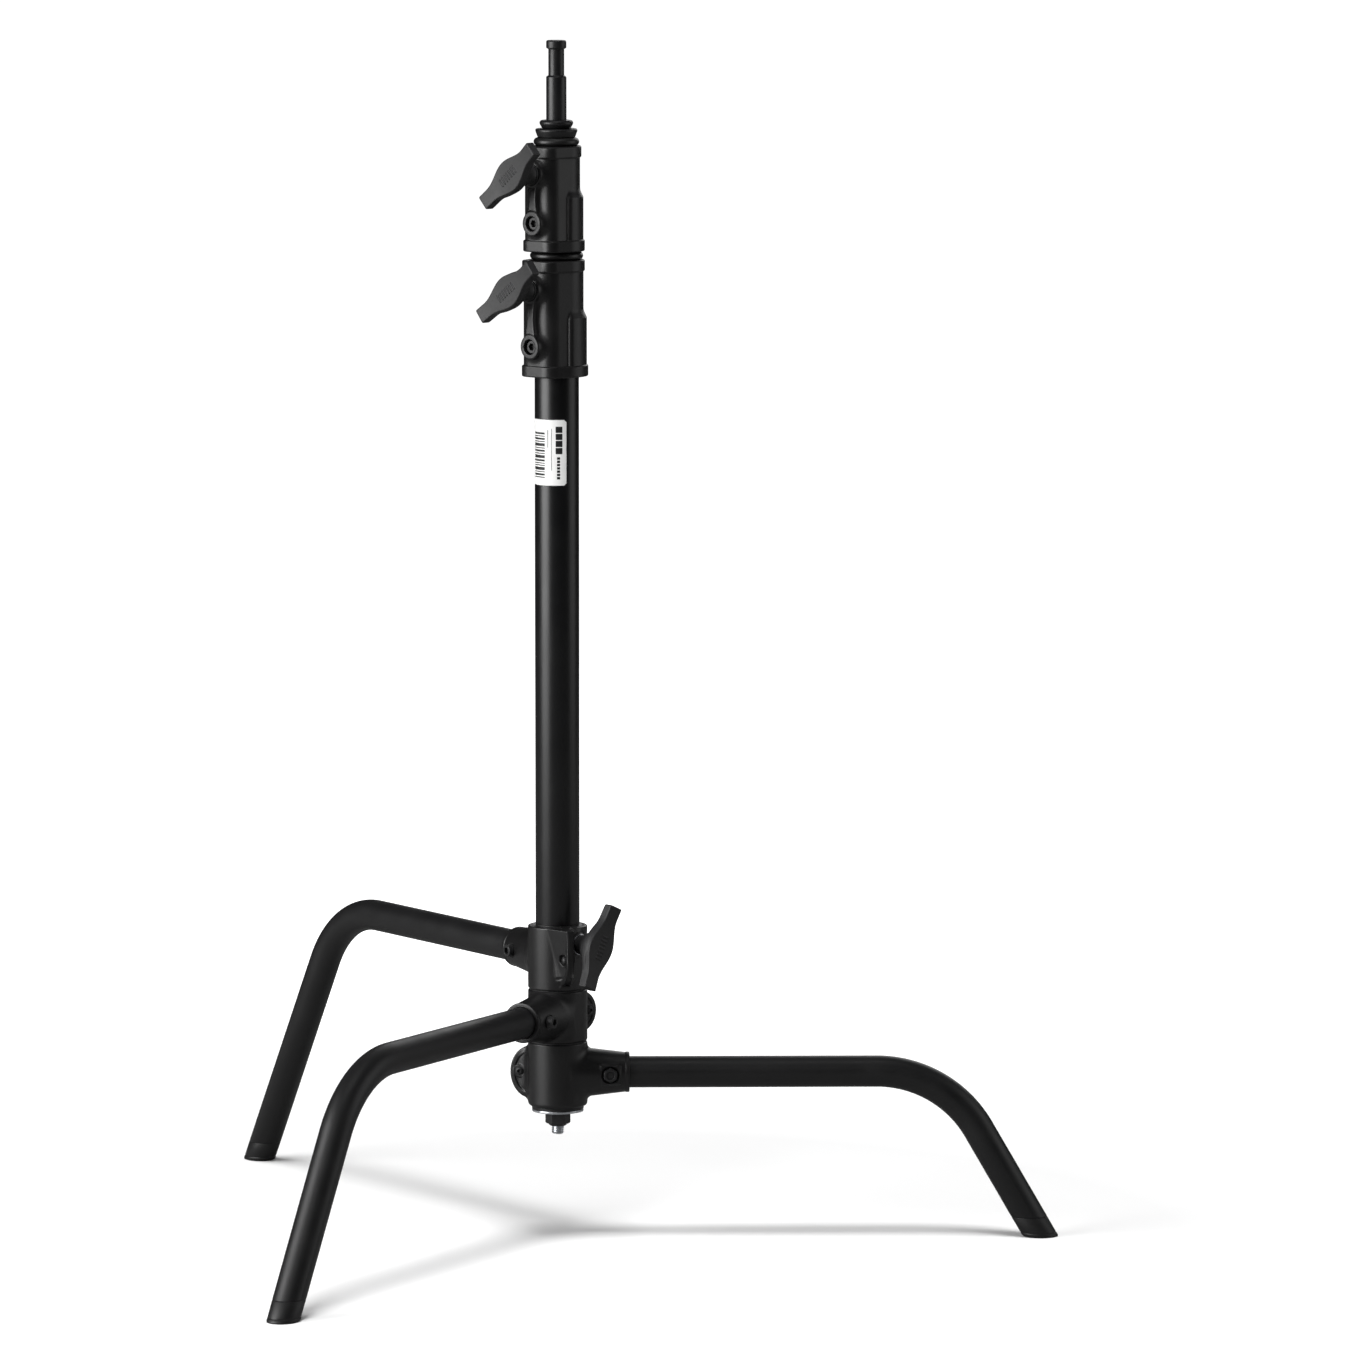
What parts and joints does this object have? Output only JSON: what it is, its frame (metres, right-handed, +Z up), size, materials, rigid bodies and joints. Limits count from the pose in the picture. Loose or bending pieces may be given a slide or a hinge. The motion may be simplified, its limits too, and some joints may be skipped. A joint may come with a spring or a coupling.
{
  "type": "c stand",
  "caption": "Low lighting stand: three bent legs on nested swivelling hubs, a lift-out column, two telescopic risers locked by wing handles and a baby pin on top.",
  "frame": {"origin": "the column axis at floor level, under the centre of the leg hubs", "axes": "+Z up along the column and out of the lamp pin; +X 1 degree clockwise of the lowest leg, seen from above"},
  "size_m": [0.6668, 0.7608, 0.954],
  "materials": {
    "leg_tube": "satin black powder coat",
    "column_tube": "satin black powder coat",
    "riser_tube": "satin black powder coat",
    "hub_casting": "die casting, matt black powder coat",
    "collar_casting": "die casting, matt black powder coat",
    "handle": "fine-grained moulded black",
    "foot": "moulded matt black",
    "bumper": "smooth black",
    "pin": "satin black over steel",
    "black_fastener": "black oxide",
    "zinc": "bright zinc plate",
    "dark_washer": "black oxide",
    "bare_steel": "turned steel",
    "receiver": "turned, dark grey",
    "nylon_disc": "black nylon",
    "guide_bush": "natural nylon",
    "shoe": "turned",
    "label": "white paper label, unlettered"
  },
  "bodies": {
    "base": {"low_hub": "hub_casting", "low_leg": "leg_tube", "low_foot": "foot", "low_leg_bolt": "black_fastener", "low_leg_nut": "black_fastener", "low_ear_screw": "black_fastener", "pivot_sleeve": "bare_steel", "centre_stud": "zinc", "zinc_washer": "zinc", "lock_nut": "black_fastener", "lower_swivel_disc": "nylon_disc"},
    "mid_leg_body": {"mid_hub": "hub_casting", "mid_leg": "leg_tube", "mid_foot": "foot", "mid_leg_bolt": "black_fastener", "mid_leg_nut": "black_fastener", "mid_ear_screw": "black_fastener", "upper_swivel_disc": "nylon_disc"},
    "top_leg_body": {"top_hub": "hub_casting", "top_leg": "leg_tube", "top_foot": "foot", "top_leg_bolt": "black_fastener", "top_leg_nut": "black_fastener", "top_ear_screw": "black_fastener", "column_receiver": "receiver"},
    "base_lock_ring": {"base_lock_washer": "zinc"},
    "base_lock": {"base_handle": "handle", "base_lock_screw": "bare_steel"},
    "base_shoe": {"base_lock_shoe": "shoe"},
    "column_ring": {"thrust_ring": "nylon_disc"},
    "column": {"column_tube": "column_tube", "column_spigot": "bare_steel", "spigot_rivets": "black_fastener", "label_sticker": "label", "lower_collar": "collar_casting", "lower_collar_bolt": "black_fastener", "lower_bumper": "bumper"},
    "lower_lock_ring": {"lower_lock_washer": "dark_washer"},
    "lower_lock": {"lower_handle": "handle", "lower_lock_screw": "bare_steel"},
    "lower_shoe": {"lower_lock_shoe": "shoe"},
    "riser_2_guide": {"riser_2_bush": "guide_bush"},
    "riser_2": {"riser_2_tube": "riser_tube", "upper_collar": "collar_casting", "upper_collar_bolt": "black_fastener", "upper_bumper": "bumper"},
    "upper_lock_ring": {"upper_lock_washer": "dark_washer"},
    "upper_lock": {"upper_handle": "handle", "upper_lock_screw": "bare_steel"},
    "upper_shoe": {"upper_lock_shoe": "shoe"},
    "riser_3_guide": {"riser_3_bush": "guide_bush"},
    "riser_3": {"riser_3_tube": "riser_tube", "stop_ring": "pin", "cap_ring": "pin", "lamp_pin": "pin"}
  },
  "joints": [
    {"name": "mid_leg_fold", "type": "hinge", "parent": "base", "child": "mid_leg_body", "pos_m": [0, 0, 0.1805], "axis": [0, 0, 1], "range_deg": [0, 120.5]},
    {"name": "top_leg_fold", "type": "hinge", "parent": "base", "child": "top_leg_body", "pos_m": [0, 0, 0.2275], "axis": [0, 0, 1], "range_deg": [-123.4, 0]},
    {"name": "column_lift", "type": "slide", "parent": "base", "child": "column_ring", "axis": [0, 0, 1], "range_m": [0, 0.12]},
    {"name": "column_swivel", "type": "hinge", "parent": "column_ring", "child": "column", "pos_m": [0, 0, 0.2525], "axis": [0, 0, 1], "continuous": true},
    {"name": "riser_2_slide", "type": "slide", "parent": "column", "child": "riser_2_guide", "axis": [0, 0, 1], "range_m": [0, 0.42]},
    {"name": "riser_2_swivel", "type": "hinge", "parent": "riser_2_guide", "child": "riser_2", "pos_m": [0, 0, 0.296], "axis": [0, 0, 1], "continuous": true},
    {"name": "riser_3_slide", "type": "slide", "parent": "riser_2", "child": "riser_3_guide", "axis": [0, 0, 1], "range_m": [0, 0.46]},
    {"name": "riser_3_swivel", "type": "hinge", "parent": "riser_3_guide", "child": "riser_3", "pos_m": [0, 0, 0.301], "axis": [0, 0, 1], "continuous": true},
    {"name": "base_handle_turn", "type": "hinge", "parent": "top_leg_body", "child": "base_lock_ring", "pos_m": [0.01773, -0.01969, 0.239], "axis": [0.6691, -0.7431, 0], "range_deg": [0, 360]},
    {"name": "base_screw_travel", "type": "slide", "parent": "base_lock_ring", "child": "base_lock", "axis": [0.6691, -0.7431, 0], "range_m": [0, 0.0015]},
    {"name": "base_shoe_travel", "type": "slide", "parent": "top_leg_body", "child": "base_shoe", "axis": [0.6691, -0.7431, 0], "range_m": [0, 0.0015]},
    {"name": "lower_handle_turn", "type": "hinge", "parent": "column", "child": "lower_lock_ring", "pos_m": [-0.02141, -0.02378, 0.759], "axis": [-0.6691, -0.7431, 0], "range_deg": [0, 360]},
    {"name": "lower_screw_travel", "type": "slide", "parent": "lower_lock_ring", "child": "lower_lock", "axis": [-0.6691, -0.7431, 0], "range_m": [0, 0.0015]},
    {"name": "lower_shoe_travel", "type": "slide", "parent": "column", "child": "lower_shoe", "axis": [-0.6691, -0.7431, 0], "range_m": [0, 0.0015]},
    {"name": "upper_handle_turn", "type": "hinge", "parent": "riser_2", "child": "upper_lock_ring", "pos_m": [-0.01967, -0.02185, 0.85], "axis": [-0.6691, -0.7431, 0], "range_deg": [0, 360]},
    {"name": "upper_screw_travel", "type": "slide", "parent": "upper_lock_ring", "child": "upper_lock", "axis": [-0.6691, -0.7431, 0], "range_m": [0, 0.0015]},
    {"name": "upper_shoe_travel", "type": "slide", "parent": "riser_2", "child": "upper_shoe", "axis": [-0.6691, -0.7431, 0], "range_m": [0, 0.0015]}
  ],
  "couplings": [
    {"joint": "base_screw_travel", "follows": "base_handle_turn", "m_per_rad": 0.00023873},
    {"joint": "base_shoe_travel", "follows": "base_handle_turn", "m_per_rad": 0.00023873},
    {"joint": "lower_screw_travel", "follows": "lower_handle_turn", "m_per_rad": 0.00023873},
    {"joint": "lower_shoe_travel", "follows": "lower_handle_turn", "m_per_rad": 0.00023873},
    {"joint": "upper_screw_travel", "follows": "upper_handle_turn", "m_per_rad": 0.00023873},
    {"joint": "upper_shoe_travel", "follows": "upper_handle_turn", "m_per_rad": 0.00023873}
  ]
}
